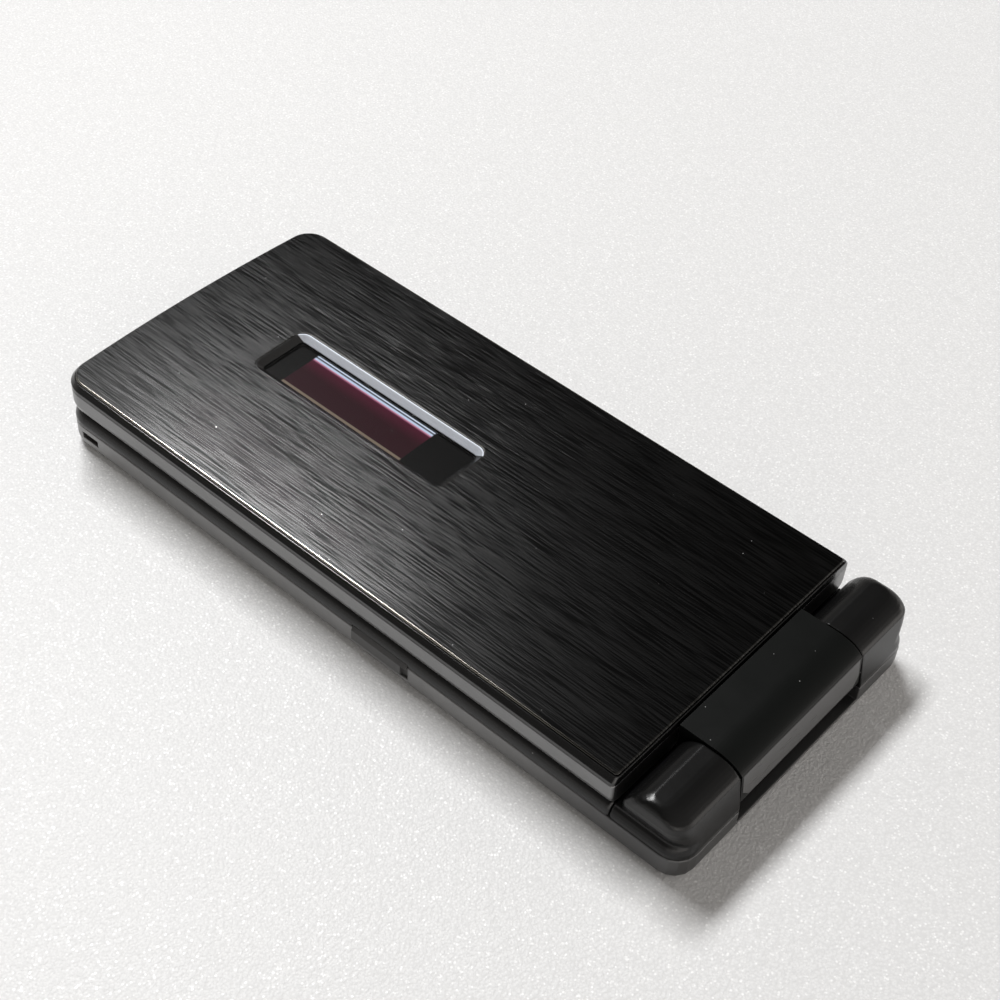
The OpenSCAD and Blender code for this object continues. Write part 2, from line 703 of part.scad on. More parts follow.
// Key field, measured from the hinge end so that it moves with the hinge
first_row = 52.6;                   // from the hinge end to the middle of the first number row
function_gap = 0.8;                 // extra space between the number rows and the row above
nav_rise = 16.6;                    // from the function row to the middle of the ring
key_rows_y = hinge_y - first_row;
function_row_y = key_rows_y + key_pitch_y + function_gap;
nav_y = function_row_y + nav_rise;
key_r = 1.2;
function_key_l = 7;
soft_key_w = 9.4;
soft_key_l = 12;
soft_key_r = 1.6;
soft_key_out = 2.3;                 // how far the soft keys stand outside the columns
soft_key_x = key_pitch_x + soft_key_out;
key_drop = 0.1;                     // key tops below the face
key_top_z = base_h - key_drop;

// Stack under the keys: flange below the roof, nub, dome sheet, board
flange = 0.35;
flange_t = 0.3;
flange_z = roof_z - slack - flange_t;
board_z = upper_z;
dome_z = board_z + board_t + snug;
dome_t = 0.12;
nub_rest = 0.03;                    // from a nub's end, pressed down, to its dome
nub_z = dome_z + dome_t + key_travel + nub_rest;
nub_r = 1.2;
board_side = 0.2;                   // from the room's wall to the board
room_far = 8.2;                     // solid far end under the face
room_near = 4.4;                    // solid hinge end under the face
room_step = 0.3;
base_room_x = half_w - base_wall - room_step;
base_room_y0 = far_y + room_far;
base_room_y1 = base_end_y - room_near;
base_room_y = (base_room_y0 + base_room_y1) / 2;
base_room_l = base_room_y1 - base_room_y0;

// Case screws: two under the battery cover, two next to the hinge
screw_cover_in = 3.5;
screw_side_in = 4;
screw_far_in = 5.2;
screw_near_in = 3;
case_screw_x0 = cover_w / 2 - screw_cover_in;
case_screw_x1 = half_w - screw_side_in;
case_screw_y0 = far_y + screw_far_in;
case_screw_y1 = base_end_y - screw_near_in;
case_bolt_r = 0.6;
case_head_r = 1.3;
case_head_t = 0.55;
case_bolt_drop = 0.9;
case_bolt_top_z = base_h - case_bolt_drop;

module at_case_screws() {
    for (x = [-1, 1]) {
        translate([x * case_screw_x0, case_screw_y0, 0]) children();
        translate([x * case_screw_x1, case_screw_y1, 0]) children();
    }
}

// Microphone beside the dock connector, half in each case
mic_side = 4;
mic_far = 5.6;
mic_r = 1.9;
mic_hole_r = 0.4;
mic_down = 0.55;
mic_roof = 0.85;
mic_x = -dock_w / 2 - mic_side;
mic_y = far_y + mic_far;
mic_z = lower_h - mic_down;
mic_top_z = base_h - mic_roof;

// Socket cover on the +X side
flap_over = 0.45;                   // how far the cover reaches over the seam
flap_z = lower_h + flap_over - flap_h;
flap_outer_x = half_w + flap_proud;
flap_swing = 0.25;                  // room at the free end, which moves out as the cover swings

module flap_room() {
    block(half_w - flap_t - slack, half_w + past, flap_y - slack,
        flap_y + flap_l + flap_swing, flap_z - slack, flap_z + flap_h + slack);
}

module key_hole(x, y, w, l, r) {
    slab(x, y, w + 2 * key_gap, l + 2 * key_gap, r + key_gap, roof_z - past, base_h + past);
}

module base_upper_case() color("#141517") difference() {
    union() {
        loft(concat(
            [[upper_z, base_plan(seam_bevel)],
             [upper_z + seam_bevel, base_plan(0)],
             [skirt_z, base_plan(0)]],
            [for (s = shoulder_slope) [base_h - s[0], base_plan(shoulder_in * s[1])]]));
        both_sides() {
            lug(0);
            block(lug_x, flange_plate_x - snug, base_end_y - past, lug_y1, upper_z,
                flange_plate_z);
        }
    }
    // trough that the barrel turns in
    rod(trough_r, -shoulder_x, shoulder_x);
    // room of the board and the openings of the keys
    block(-base_room_x, base_room_x, base_room_y0, base_room_y1, lower_h - past, roof_z);
    for (i = [-1 : 1]) {
        for (j = [0 : 3])
            key_hole(i * key_pitch_x, key_rows_y - j * key_pitch_y, key_w, key_l, key_r);
        key_hole(i * key_pitch_x, function_row_y, key_w, function_key_l, key_r);
    }
    for (x = [-soft_key_x, soft_key_x]) key_hole(x, nav_y, soft_key_w, soft_key_l, soft_key_r);
    post(0, nav_y, nav_d / 2 + key_gap, roof_z - past, base_h + past);
    // microphone: room and hole
    post(mic_x, mic_y, mic_r + slack, lower_h - past, mic_top_z + snug);
    post(mic_x, mic_y, mic_hole_r, lower_h, base_h + past);
    flap_room();
    at_case_screws() post(0, 0, case_bolt_r, lower_h - past, case_bolt_top_z + slack);
    // hinge bearings: round bore for the bush, square one for the keyed shaft
    rod(cam_r + run_gap, 0, barrel_x - bush_in + bush_l + slack);
    square_rod(key_shaft_w + 2 * snug, -shoulder_x - key_shaft_l, -shoulder_x + past);
}

// Battery well, open below
well_side = 0.2;
well_w = battery_w + 2 * well_side;
well_far = 10.4;                    // from the far end to the well
well_roof = 0.4;                    // left over the well
contact_room = 2.1;
well_y0 = far_y + well_far;
well_y1 = well_y0 + slack + battery_l + contact_room;
well_z = lower_h - well_roof;
cover_lap = 4;                      // how far the cover runs past the well
cover_y1 = well_y1 + cover_lap;
cover_r = 2;
cover_room_z = cover_t + snug;
battery_z = cover_room_z + snug;
battery_r = 1.2;

// Rooms at the hinge side of the well
well_wall = 2.4;
hinge_wall = 1.2;
room_floor = 0.8;                   // floor of the rooms over the cover's level
room_y0 = well_y1 + well_wall;
room_y1 = base_end_y - hinge_wall;
room_x = half_w - base_wall;
room_z = cover_t + room_floor;
unit_z = room_z + snug;             // underside of what stands on the rooms' floor

// Camera under a round window
camera_back = 15;                   // from the room's hinge end to the camera
camera_y = room_y1 - camera_back;
camera_w = 8.4;
camera_r = 3.9;
camera_rim = 0.9;
camera_window_z0 = 0.1;
camera_window_z1 = 0.75;

// Loudspeaker over a row of slots
speaker_x = -13;
speaker_back = 8.4;
speaker_y = room_y1 - speaker_back;
speaker_w = 14;
speaker_l = 9;
speaker_r = 2.5;
speaker_t = 1.95;
speaker_slots = 3;                  // slots on each side of the middle one
speaker_pitch = 1.5;
speaker_slot_w = 0.7;
speaker_slot_l = 6;

screw_pillar_r = 2;

// Side keys on the -X side, with a push switch behind each
side_key_x = -half_w;
side_key_z = 2.1;
side_key_start = 6;                 // from the socket cover's end to the first side key
side_key_gap = 2;
side_key_y0 = flap_y + side_key_start;
side_key_step = side_key_l + side_key_gap;
side_key_lip = 0.4;                 // lip behind the wall that keeps a side key in
side_key_in_x = side_key_x + base_wall + snug;
side_switch_x = side_key_in_x + side_key_lip + side_key_travel + nub_rest;
side_switch_w = 1.3;
side_switch_l = 3.4;
side_key_rows = [side_key_y0, side_key_y0 + side_key_step];

module side_key_hole(y) {
    block(side_key_x - past, side_key_in_x + past, y - slack, y + side_key_l + slack,
        side_key_z - slack, side_key_z + side_key_h + slack);
}

// Dock connector and its cover in the far end
dock_z0 = 1.95;
dock_drop = 0.25;
dock_z1 = lower_h - dock_drop;
dock_cover_t = 0.9;
dock_room_l = 6.6;
dock_room_y = far_y + dock_room_l;
dock_side = 1;                      // from the cover's end to the connector's

module dock_room(gap) {
    block(-dock_w / 2 - gap, dock_w / 2 + gap, far_y - past, far_y + dock_cover_t + gap,
        dock_z0 - gap, dock_z1 + gap);
}

// Strap slot: in from the +X side and out through the bottom
strap_far = 4.6;
strap_y = far_y + strap_far;
strap_z = 2.2;
strap_in = 4;
strap_out_w = 1.1;

// Steps of the lower case's rounded bottom edge
foot_rings = [for (i = [0 : foot_steps]) let (a = 90 * i / foot_steps)
    [foot_r * (1 - cos(a)), lower_plan(foot_r * (1 - sin(a)))]];

module base_lower_case() color("#1b1c1f") difference() {
    loft(concat(
        foot_rings,
        [[lower_h - seam_bevel, lower_plan(0)],
         [lower_h, lower_plan(seam_bevel)]]));
    // trough and sill under the barrel, with saddles beside it for the upper case's hinge lugs
    rod(trough_r, -shoulder_x, shoulder_x);
    both_sides() rod(lug_r + slack, shoulder_x - past, lug_x + lug_l + slack);
    block(-shoulder_x, shoulder_x, sill_y, hinge_y + past, sill_z, lower_h + past);
    // battery well, the cover's recess and the channels of its hooks
    block(-well_w / 2, well_w / 2, well_y0, well_y1, -past, well_z);
    cover_zone(slack);
    hook_channels();
    // rooms behind the well, with pillars left for the screws
    difference() {
        block(-room_x, room_x, room_y0, room_y1, room_z, lower_h + past);
        for (x = [-case_screw_x1, case_screw_x1])
            post(x, case_screw_y1, screw_pillar_r, 0, lower_h + past);
    }
    // camera window's seat and the hole behind it
    post(0, camera_y, camera_r + snug, -past, camera_window_z1 + snug);
    post(0, camera_y, camera_r - camera_rim, 0, room_z + past);
    for (i = [-speaker_slots : speaker_slots])
        slab(speaker_x + i * speaker_pitch, speaker_y, speaker_slot_w, speaker_slot_l,
            speaker_slot_w, -past, room_z + past);
    // openings in the sides
    flap_room();
    block(half_w - socket_in - slack, half_w, flap_y + socket_side - slack,
        flap_y + flap_l - socket_side + slack, socket_z0 - snug, lower_h + past);
    for (y = side_key_rows) side_key_hole(y);
    dock_room(slack);
    block(-dock_w / 2 + dock_side - slack, dock_w / 2 - dock_side + slack, far_y + dock_cover_t,
        dock_room_y, dock_unit_z - snug, lower_h + past);
    post(mic_x, mic_y, mic_r + slack, mic_z - snug, lower_h + past);
    // strap slot
    block(half_w - strap_in, half_w + past, strap_y, strap_y + strap_l, strap_z,
        strap_z + strap_h);
    block(half_w - strap_in, half_w - strap_in + strap_out_w, strap_y, strap_y + strap_l, -past,
        strap_z + strap_h);
    at_case_screws() {
        post(0, 0, case_head_r + slack, -past, cover_room_z + slack + case_head_t + snug);
        post(0, 0, case_bolt_r + snug, 0, lower_h + past);
    }
}

// Hooks of the battery cover: a foot on a short stem. In the case each has a channel to slide in,
// and an opening at the channel's far end that the foot comes out of.
hook_x = (well_w + cover_w) / 4;
hook_l = 1.6;
hook_stem = 0.35;
hook_foot = 0.75;
hook_z = cover_t + 0.45;
hook_t = 0.4;
hook_end = 6;                       // from the well's ends to the hooks
hook_rows = [well_y0 + hook_end, well_y0 + battery_l - hook_end];

module cover_hooks() {
    for (x = [-hook_x, hook_x], y = hook_rows) {
        block(x - hook_stem, x + hook_stem, y, y + hook_l, cover_t - eps, hook_z + eps);
        block(x - hook_foot, x + hook_foot, y, y + hook_l, hook_z, hook_z + hook_t);
    }
}

module hook_channels() {
    stem = hook_stem + slack;
    foot = hook_foot + slack;
    for (x = [-hook_x, hook_x], y = hook_rows) {
        y0 = y - cover_slide - slack;
        y1 = y + hook_l + slack;
        block(x - stem, x + stem, y0, y1, 0, hook_z);
        block(x - foot, x + foot, y0, y1, hook_z - snug, hook_z + hook_t + slack);
        block(x - foot, x + foot, y0, y1 - cover_slide, 0, hook_z);
    }
}

// Zone of the battery cover, which is the case's own outer form within it
module cover_zone(gap) {
    y0 = far_y - past;
    slab(0, (cover_y1 + gap + y0) / 2, cover_w + 2 * gap, cover_y1 + gap - y0, cover_r,
        -past, cover_t + (gap > 0 ? snug : 0));
}

grip_y = 5;                         // from the cover's end to its first thumb groove
grip_grooves = 5;
grip_pitch = 1.1;
grip_w = 10;
grip_l = 0.4;
grip_depth = 0.15;

module battery_cover() color("#17181a") {
    difference() {
        intersection() {
            loft(foot_rings);
            cover_zone(0);
        }
        for (i = [0 : grip_grooves - 1])
            slab(0, cover_y1 - grip_y - i * grip_pitch, grip_w - i, grip_l, grip_l, -past,
                grip_depth);
    }
    cover_hooks();
}

module battery() color("#3b4a5c")
    slab(0, well_y0 + slack + battery_l / 2, battery_w, battery_l, battery_r, battery_z,
        well_z - snug);

// Contact block at the well's hinge end, with three springs that reach to the battery
contact_w = 10;
contact_block_l = 1.2;
contact_pitch = 3;
contact_half = 0.4;
contact_in = 0.3;
contact_up = 0.9;
contact_z = battery_z + contact_up;
contact_h = 0.7;

module battery_contacts() color("#c8a24a") {
    y1 = well_y1 - contact_block_l;
    block(-contact_w / 2, contact_w / 2, y1, well_y1 - snug, battery_z + contact_in,
        well_z - contact_in);
    for (x = [-contact_pitch, 0, contact_pitch])
        block(x - contact_half, x + contact_half, well_y0 + slack + battery_l + snug, y1 + eps,
            contact_z, contact_z + contact_h);
}

module main_board() color("#1f5a35")
    slab(0, base_room_y, 2 * (base_room_x - board_side), base_room_l - 2 * board_side, board_r,
        board_z, board_z + board_t);

dome_side = 0.7;
module dome_sheet() color("#d8d8cf")
    slab(0, base_room_y, 2 * (base_room_x - dome_side), base_room_l - 2 * dome_side, board_r,
        dome_z, dome_z + dome_t);

// Shield can under the board
can_side = 3.9;
can_end = 2.2;
can_w = 15;
can_l = 14;
can_r = 0.6;
can_lift = 0.35;
can_x = can_side + can_w / 2 - room_x;
can_y = room_y0 + can_end + can_l / 2;
module shield_can() color("#b6b9bd")
    slab(can_x, can_y, can_w, can_l, can_r, unit_z + can_lift, lower_h);

camera_barrel_in = 0.2;             // from the barrel to the hole's wall
module camera_module() color("#26282c") {
    block(-camera_w / 2, camera_w / 2, camera_y - camera_w / 2, camera_y + camera_w / 2,
        unit_z, lower_h);
    post(0, camera_y, camera_r - camera_rim - camera_barrel_in, camera_window_z1 + slack + snug,
        unit_z + eps);
}

module camera_window() color("#14161c", 0.7)
    post(0, camera_y, camera_r, camera_window_z0, camera_window_z1);

module loudspeaker() color("#303236")
    slab(speaker_x, speaker_y, speaker_w, speaker_l, speaker_r, unit_z, unit_z + speaker_t);

// Antenna carrier in the corner: an open frame
antenna_x0 = 7;
antenna_end = 5;                    // from the room's side to the carrier
antenna_l = 6;
antenna_wall = 1;
antenna_floor = 0.6;
antenna_drop = 0.2;
module antenna() color("#b08a3c") difference() {
    x1 = room_x - antenna_end;
    block(antenna_x0, x1, room_y1 - antenna_l, room_y1 - snug, unit_z,
        lower_h - antenna_drop);
    block(antenna_x0 + antenna_wall, x1 - antenna_wall, room_y1 - antenna_l + antenna_wall,
        room_y1 - antenna_wall, unit_z + antenna_floor, lower_h + past);
}

// Side socket: a folded shell, open to the side
socket_in = 9.5;
socket_side = 0.7;
socket_t = 0.3;
socket_back = 1.5;
socket_gap = 0.3;                   // from the cover to the socket's mouth
socket_up = 0.35;
socket_mouth_x = half_w - flap_t - socket_gap;
socket_z0 = flap_z + socket_up;
socket_z1 = lower_h - snug;
module side_socket() color("#9a9ca0") difference() {
    y0 = flap_y + socket_side;
    y1 = flap_y + flap_l - socket_side;
    block(half_w - socket_in, socket_mouth_x, y0, y1, socket_z0, socket_z1);
    block(half_w - socket_in + socket_back, half_w, y0 + socket_t, y1 - socket_t, socket_z0 + socket_t,
        socket_z1 - socket_t);
}

// Cover's bar with a sloped upper edge and a finger notch at its end, and the stub that plugs
// into the socket
flap_bevel = 0.2;
flap_slope_w = 0.6;
flap_slope_h = 0.75;
flap_notch_l = 0.9;
flap_notch_t = 0.35;
stub_in = 0.8;
stub_side = 1.5;
stub_gap = 0.25;
stub_z0 = socket_z0 + socket_t + stub_gap;
stub_z1 = socket_z1 - socket_t - stub_gap;
module side_socket_cover() color("#202124") {
    inner_x = half_w - flap_t;
    outer_x = flap_outer_x;
    top = flap_z + flap_h;
    difference() {
        translate([0, flap_y + flap_l, 0]) rotate([90, 0, 0]) linear_extrude(flap_l)
            polygon([
                [inner_x, flap_z], [outer_x - flap_bevel, flap_z], [outer_x, flap_z + flap_bevel],
                [outer_x, top - flap_slope_h], [outer_x - flap_slope_w, top], [inner_x, top]]);
        block(half_w - flap_notch_t, outer_x + past, flap_y + flap_l - flap_notch_l,
            flap_y + flap_l + past, flap_z - past, top - flap_slope_h);
    }
    block(inner_x - stub_in, inner_x + snug, flap_y + stub_side, flap_y + flap_l - stub_side,
        stub_z0, stub_z1);
}

dock_unit_up = 0.25;
dock_unit_z = dock_z0 + dock_unit_up;
dock_shell_t = 0.3;
dock_back = 1.4;
dock_plug_side = 2;
dock_plug_l = 0.7;
module dock_connector() color("#a4a6aa") difference() {
    w = dock_w / 2 - dock_side;
    block(-w, w, far_y + dock_cover_t + 2 * slack, dock_room_y - slack, dock_unit_z, lower_h - snug);
    block(dock_shell_t - w, w - dock_shell_t, far_y, dock_room_y - dock_back,
        dock_unit_z + dock_shell_t, lower_h - snug - dock_shell_t);
}

module dock_cover() color("#202124") {
    intersection() {
        loft([[dock_z0 - slack, lower_plan(snug)], [lower_h, lower_plan(snug)]]);
        dock_room(0);
    }
    block(dock_plug_side - dock_w / 2, dock_w / 2 - dock_plug_side, far_y + dock_cover_t - eps,
        far_y + dock_cover_t + dock_plug_l, dock_unit_z + dock_shell_t + slack,
        lower_h - dock_shell_t - 2 * slack);
}

module side_key(y) color("#1b1c1f") {
    block(side_key_x - side_key_proud, side_key_in_x + eps, y, y + side_key_l, side_key_z,
        side_key_z + side_key_h);
    block(side_key_in_x, side_key_in_x + side_key_lip, y - side_key_lip,
        y + side_key_l + side_key_lip, side_key_z, side_key_z + side_key_h);
}

module side_switches() color("#b6b9bd")
    for (y = side_key_rows)
        block(side_switch_x, side_switch_x + side_switch_w, y + (side_key_l - side_switch_l) / 2,
            y + (side_key_l + side_switch_l) / 2, side_key_z + slack, lower_h);

module case_screws() color("#9a9ca0") at_case_screws() {
    z0 = cover_room_z + slack;
    post(0, 0, case_head_r, z0, z0 + case_head_t);
    post(0, 0, case_bolt_r - snug, z0, case_bolt_top_z);
}

module microphone() color("#c0b070") post(mic_x, mic_y, mic_r, mic_z, mic_top_z);

// ---- Keys ----

// Key with a flange under the case's roof and a nub over its dome; its top edge is rounded by two
// steps, each [height below the top, inset]
key_edge = [[0.2, 0], [0.06, 0.1], [0, 0.35]];
key_steps = 4;
flange_end = 0.8;                   // from the key's sides to its flange's ends
module key_cap(x, y, w, l, r) {
    loft(concat(
        [[flange_z + flange_t - eps, slab_pts(x, y, w, l, r, key_steps)]],
        [for (s = key_edge) [key_top_z - s[0],
            slab_pts(x, y, w - 2 * s[1], l - 2 * s[1], r - s[1], key_steps)]]));
    block(x - w / 2 + flange_end, x + w / 2 - flange_end, y - l / 2 - flange, y + l / 2 + flange,
        flange_z, flange_z + flange_t);
    post(x, y, nub_r, nub_z, flange_z + eps);
}

module number_key(i, j) color("#2c2e32")
    key_cap(i * key_pitch_x, key_rows_y - j * key_pitch_y, key_w, key_l, key_r);
module function_key(i, shade) color(shade)
    key_cap(i * key_pitch_x, function_row_y, key_w, function_key_l, key_r);
module soft_key(i) color("#2c2e32")
    key_cap(i * soft_key_x, nav_y, soft_key_w, soft_key_l, soft_key_r);

// Navigation ring with four nubs, and the centre key in it, which is bonded to the dome sheet's
// film. The ring tips, so it stands well clear of the centre key.
nav_gap = 0.6;
nav_edge = 0.15;
nav_edge_in = 0.3;
nav_nub_r = 0.9;
nav_nub_at = (nav_d + nav_centre_d) / 4;
nav_rim_z = key_top_z - nav_edge;
nav_hole_r = nav_centre_d / 2 + nav_gap;
nav_smooth = 96;

module nav_disc(r, z0) {
    post(0, nav_y, r, z0, nav_rim_z);
    translate([0, nav_y, nav_rim_z - eps])
        cylinder(h = nav_edge, r1 = r, r2 = r - nav_edge_in, $fn = nav_smooth);
}

module nav_ring() color("#8a8d92") difference() {
    union() {
        nav_disc(nav_d / 2, flange_z + flange_t - eps);
        post(0, nav_y, nav_d / 2 + flange, flange_z, flange_z + flange_t);
        for (a = [0 : 90 : 270])
            post(nav_nub_at * cos(a), nav_y + nav_nub_at * sin(a), nav_nub_r, nub_z,
                flange_z + eps);
    }
    post(0, nav_y, nav_hole_r, nub_z - past, base_h + past);
}

module nav_centre_key() color("#b4b6ba") {
    nav_disc(nav_centre_d / 2, flange_z);
    post(0, nav_y, nub_r, nub_z, flange_z + eps);
}

lid_plate();
lid_outer_case();
window_bezel();
subdisplay_window();
subdisplay_panel();
lid_board();
main_display();
main_display_window();
lid_inner_case();
earpiece();
earpiece_grille();
lid_bumpers();
lid_screws();
lid_screw_caps();
hinge_barrel();
hinge_end_plate();
hinge_cam_unit();
hinge_key_shaft();
hinge_bush();
hinge_shoulders();
base_upper_case();
base_lower_case();
main_board();
shield_can();
dome_sheet();
battery();
battery_contacts();
battery_cover();
camera_module();
camera_window();
loudspeaker();
side_socket();
side_socket_cover();
dock_connector();
dock_cover();
side_key(side_key_y0);  // side_key_front
side_key(side_key_y0 + side_key_step);  // side_key_rear
side_switches();
case_screws();
antenna();
microphone();
nav_ring();
nav_centre_key();
soft_key(-1);  // soft_key_left
soft_key(1);  // soft_key_right
function_key(-1, "#2f6b45");  // call_key
function_key(0, "#2c2e32");  // clear_key
function_key(1, "#7a2a2a");  // end_key
number_key(-1, 0);  // key_1
number_key(0, 0);  // key_2
number_key(1, 0);  // key_3
number_key(-1, 1);  // key_4
number_key(0, 1);  // key_5
number_key(1, 1);  // key_6
number_key(-1, 2);  // key_7
number_key(0, 2);  // key_8
number_key(1, 2);  // key_9
number_key(-1, 3);  // key_star
number_key(0, 3);  // key_0
number_key(1, 3);  // key_hash
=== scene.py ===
from math import cos, radians, sin

import bpy
from mathutils import Matrix, Quaternion, Vector


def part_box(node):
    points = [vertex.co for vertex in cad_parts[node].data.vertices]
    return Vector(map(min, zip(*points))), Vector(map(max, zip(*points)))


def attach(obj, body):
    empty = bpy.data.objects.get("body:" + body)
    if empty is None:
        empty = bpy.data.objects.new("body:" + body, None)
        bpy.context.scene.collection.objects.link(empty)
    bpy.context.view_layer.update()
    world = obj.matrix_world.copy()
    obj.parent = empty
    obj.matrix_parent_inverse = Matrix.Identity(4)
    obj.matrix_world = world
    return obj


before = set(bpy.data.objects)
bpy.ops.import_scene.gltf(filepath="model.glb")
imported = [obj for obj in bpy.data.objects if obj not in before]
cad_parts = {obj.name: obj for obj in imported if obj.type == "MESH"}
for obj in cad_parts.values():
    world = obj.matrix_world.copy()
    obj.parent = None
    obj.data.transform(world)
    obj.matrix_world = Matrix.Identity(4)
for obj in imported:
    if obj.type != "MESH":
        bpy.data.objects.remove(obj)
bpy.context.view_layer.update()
scene = bpy.context.scene
scene.view_settings.view_transform = "Standard"


# ---- Camera ----
# The phone is seen from above its hinge end and its socket side, from about 25 cm away, with the
# camera's right side a little high.
camera_place = Vector((0.133387, 0.112587, 0.186136))
camera_target = Vector((-0.004696, 0.001932, 0.006))
camera_roll = 4.005
camera_lens = 66.335
camera_sensor = 36
camera_near = 0.005

camera = bpy.data.objects.new("camera", bpy.data.cameras.new("camera"))
camera.data.lens = camera_lens
camera.data.sensor_width = camera_sensor
camera.data.clip_start = camera_near
camera.location = camera_place
camera.rotation_euler = (
    (camera_target - camera_place).to_track_quat("-Z", "Y")
    @ Quaternion((0, 0, 1), radians(camera_roll))
).to_euler()
scene.collection.objects.link(camera)
scene.camera = camera


# ---- Floor ----
# A sheet of white coated board under the phone. Its surface has a fine pebbled grain, with small
# smooth facets that catch the light. The facets are also painted whiter, as painted glints.
mm_per_metre = 1000


class Wire:
    """An output of a shader node. Arithmetic on it adds the Math nodes of the same sum."""

    def __init__(self, tree, socket=None):
        self.tree = tree
        self.socket = socket

    def node(self, kind, settings, values, out=0):
        made = self.tree.nodes.new(kind)
        for name, value in settings.items():
            setattr(made, name, value)
        for name, value in values.items():
            if isinstance(value, Wire):
                self.tree.links.new(value.socket, made.inputs[name])
            else:
                made.inputs[name].default_value = value
        return Wire(self.tree, made.outputs[out])

    def math(self, operation, first, second=0.0):
        return self.node("ShaderNodeMath", {"operation": operation}, {0: first, 1: second})

    def __add__(self, other):
        return self.math("ADD", self, other)

    def __radd__(self, other):
        return self.math("ADD", other, self)

    def __sub__(self, other):
        return self.math("SUBTRACT", self, other)

    def __rsub__(self, other):
        return self.math("SUBTRACT", other, self)

    def __mul__(self, other):
        return self.math("MULTIPLY", self, other)

    def __rmul__(self, other):
        return self.math("MULTIPLY", other, self)

    def __abs__(self):
        return self.math("ABSOLUTE", self)

    def step(self, low, high):
        """0 below low and 1 above high, smooth between; falling where low is the larger."""
        falling = low > high
        ends = {"From Min": min(low, high), "From Max": max(low, high)}
        ends.update({"To Min": 1.0 if falling else 0.0, "To Max": 0.0 if falling else 1.0})
        ends["Value"] = self
        return self.node("ShaderNodeMapRange", {"interpolation_type": "SMOOTHSTEP"}, ends)

    def dot(self, other):
        return self.node(
            "ShaderNodeVectorMath", {"operation": "DOT_PRODUCT"}, {0: self, 1: other}, "Value"
        )

    def axis(self, name):
        return self.node("ShaderNodeSeparateXYZ", {}, {0: self}, name)

    def stretch(self, x, y, z):
        return self.node(
            "ShaderNodeVectorMath", {"operation": "MULTIPLY"}, {0: self, 1: (x, y, z)}
        )

    def noise(self, scale, detail=2.0, rough=0.5):
        values = {"Vector": self, "Scale": scale, "Detail": detail, "Roughness": rough}
        return self.node("ShaderNodeTexNoise", {}, values)

    def cells(self, scale):
        return self.node("ShaderNodeTexVoronoi", {}, {"Vector": self, "Scale": scale})

    def blend(self, low, high):
        """Colour from low, where this value is 0, to high, where it is 1."""
        return self.node("ShaderNodeMix", {"data_type": "RGBA"}, {0: self, 6: low, 7: high}, 2)

    def bump(self, depth, under=None):
        """Normal of a surface with this height, depth millimetres from 0 to 1."""
        values = {"Height": self, "Distance": depth / mm_per_metre, "Strength": 1.0}
        if under is not None:
            values["Normal"] = under
        return self.node("ShaderNodeBump", {}, values)


def grey(value, warmth=0.0):
    """Grey of this level, redder by warmth and less blue by as much."""
    return (value * (1 + warmth), value, value * (1 - warmth), 1.0)


def start_finish(name):
    """New material, and the point on the phone in millimetres."""
    material = bpy.data.materials.new(name)
    material.use_nodes = True
    tree = material.node_tree
    coordinates = Wire(tree).node("ShaderNodeTexCoord", {}, {}, "Object")
    return material, coordinates.stretch(mm_per_metre, mm_per_metre, mm_per_metre)


def set_finish(material, values):
    shader = material.node_tree.nodes["Principled BSDF"]
    for name, value in values.items():
        if isinstance(value, Wire):
            material.node_tree.links.new(value.socket, shader.inputs[name])
        else:
            shader.inputs[name].default_value = value


floor_reach = 3.0
floor_drop = 0.00002
floor_corners = ((-1, -1), (1, -1), (1, 1), (-1, 1))
floor_mesh = bpy.data.meshes.new("floor")
floor_mesh.from_pydata(
    [(x * floor_reach, y * floor_reach, -floor_drop) for x, y in floor_corners],
    [],
    [(0, 1, 2, 3)],
)
floor = bpy.data.objects.new("floor", floor_mesh)
scene.collection.objects.link(floor)
floor_finish, place = start_finish("white_coated_board")
pebbles = place.cells(2.6)
fine_pebbles = place.noise(3.6, 3.0, 0.65)
cloud = place.noise(0.012, 2.0)
# Painted glints: small smooth facets, also painted whiter than the board.
facets_and_painted_glints = place.cells(1.7).step(0.34, 0.16) * place.noise(0.9, 2.0).step(0.45, 0.53)
board_white = cloud.blend(grey(0.81), grey(0.83))
grained = (pebbles * 0.6 + fine_pebbles * 0.7).step(0.35, 0.85).blend(board_white, grey(0.73))
set_finish(floor_finish, {
    "Base Color": facets_and_painted_glints.blend(grained, grey(0.97)),
    "Roughness": 0.34 + fine_pebbles * 0.2 - facets_and_painted_glints * 0.25,
    "Specular IOR Level": 0.35,
    "Normal": (pebbles * 0.6 + fine_pebbles * 0.6).bump(0.07),
})
floor_mesh.materials.append(floor_finish)


# ---- Light ----
# One long soft lamp hangs past the phone's far end, from its left side to above its middle, so that
# the shadow falls towards the hinge. The room is dim above, and paler near the floor and on the
# hinge side.
lamp_left_end = Vector((-0.84, -1.01, 1.45))
lamp_right_end = Vector((0.10, -1.04, 1.68))
lamp_breadth = 0.34
lamp_watts = 36.5
sky_above = 0.10
sky_hinge_side = 0.34
sky_low = 0.35
sky_low_hinge_side = 1.9
sky_colour = (1.0, 0.955, 0.91, 1)

lamp = bpy.data.objects.new("lamp", bpy.data.lights.new("lamp", "AREA"))
lamp.data.shape = "RECTANGLE"
lamp.data.size = (lamp_right_end - lamp_left_end).length
lamp.data.size_y = lamp_breadth
lamp.data.energy = lamp_watts
lamp.location = (lamp_left_end + lamp_right_end) / 2
lamp_along = (lamp_right_end - lamp_left_end).normalized()
lamp_across = lamp.location.cross(lamp_along).normalized()
lamp_back = lamp_along.cross(lamp_across)
lamp.rotation_euler = Matrix((lamp_along, lamp_across, lamp_back)).transposed().to_euler()
scene.collection.objects.link(lamp)

